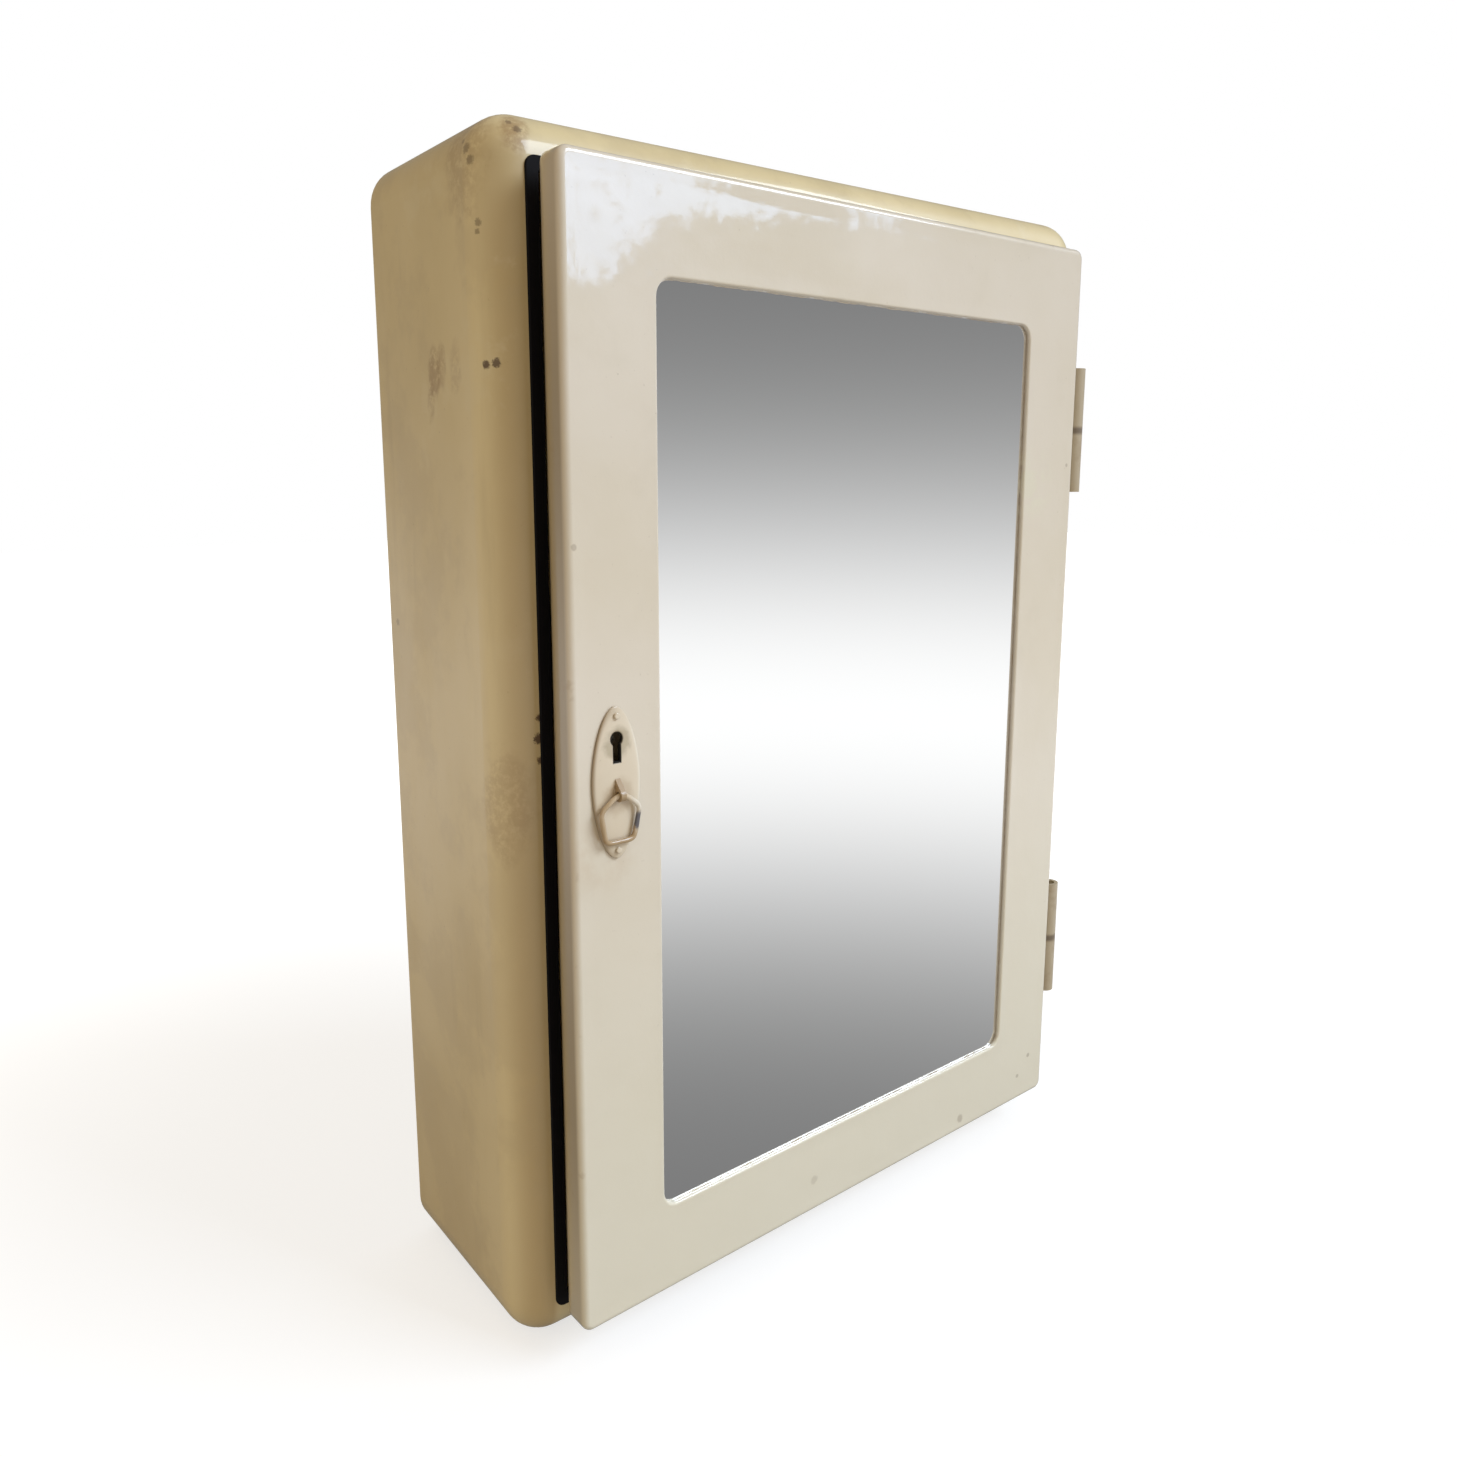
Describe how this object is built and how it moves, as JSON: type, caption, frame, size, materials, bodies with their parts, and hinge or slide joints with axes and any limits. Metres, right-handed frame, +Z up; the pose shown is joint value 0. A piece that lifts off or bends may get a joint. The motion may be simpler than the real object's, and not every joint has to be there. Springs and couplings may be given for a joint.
{
  "type": "mirrored medicine cabinet",
  "caption": "Wall cabinet in painted sheet steel with rounded edges, shelves inside, and a hinged, lockable door that holds a mirror and a drop ring.",
  "frame": {"origin": "centre of the back face, midway between the four wall screws", "axes": "+Y into the wall, +Z up, +X to the right of someone who looks into the mirror; the door faces -Y"},
  "size_m": [0.3389, 0.1304, 0.483],
  "materials": {
    "cream_paint": "gloss stoving enamel, worn and chipped at the edges",
    "worn_paint": "gloss paint, rubbed through at the bends",
    "hinge_paint": "gloss paint, brown where it is worn",
    "black_rubber": "matt",
    "silvered_glass": "silvered float glass",
    "hardboard": "pressed fibre board",
    "spring_steel": "blued",
    "plated_steel": "dull zinc plating",
    "brass_bolt": "turned and drawn, unpolished"
  },
  "bodies": {
    "case": {"case_shell": "cream_paint", "back_panel": "cream_paint", "door_edging": "black_rubber", "lower_shelf": "cream_paint", "upper_shelf": "cream_paint", "lower_shelf_brackets": "cream_paint", "upper_shelf_brackets": "cream_paint", "lower_hinge_case_leaf": "hinge_paint", "lower_hinge_pin": "plated_steel", "lower_hinge_washer": "brass_bolt", "upper_hinge_case_leaf": "hinge_paint", "upper_hinge_pin": "plated_steel", "upper_hinge_washer": "brass_bolt"},
    "door": {"door_pan": "cream_paint", "door_inner_pan": "cream_paint", "inner_pan_posts": "cream_paint", "inner_pan_screws": "plated_steel", "mirror_glass": "silvered_glass", "mirror_backing": "hardboard", "mirror_clips": "spring_steel", "escutcheon": "cream_paint", "escutcheon_rivets": "cream_paint", "ring_eye": "worn_paint", "lock_case": "plated_steel", "lock_cover": "plated_steel", "lock_screws": "plated_steel", "lock_spring": "spring_steel", "lower_hinge_door_leaf": "hinge_paint", "upper_hinge_door_leaf": "hinge_paint"},
    "ring": {"pull_ring": "worn_paint"},
    "bolt": {"lock_bolt": "brass_bolt"}
  },
  "joints": [
    {"name": "door_swing", "type": "hinge", "parent": "case", "child": "door", "pos_m": [0.15745, -0.1111, 0], "axis": [0, 0, 1], "range_deg": [-1.6, 168.4]},
    {"name": "ring_swing", "type": "hinge", "parent": "door", "child": "ring", "pos_m": [-0.13264, -0.12791, -0.003], "axis": [-0.9996, -0.0279, 0], "range_deg": [-1.5, 181.5]},
    {"name": "bolt_slide", "type": "slide", "parent": "door", "child": "bolt", "axis": [-0.9996, -0.0279, 0], "range_m": [0, 0.0075]}
  ]
}
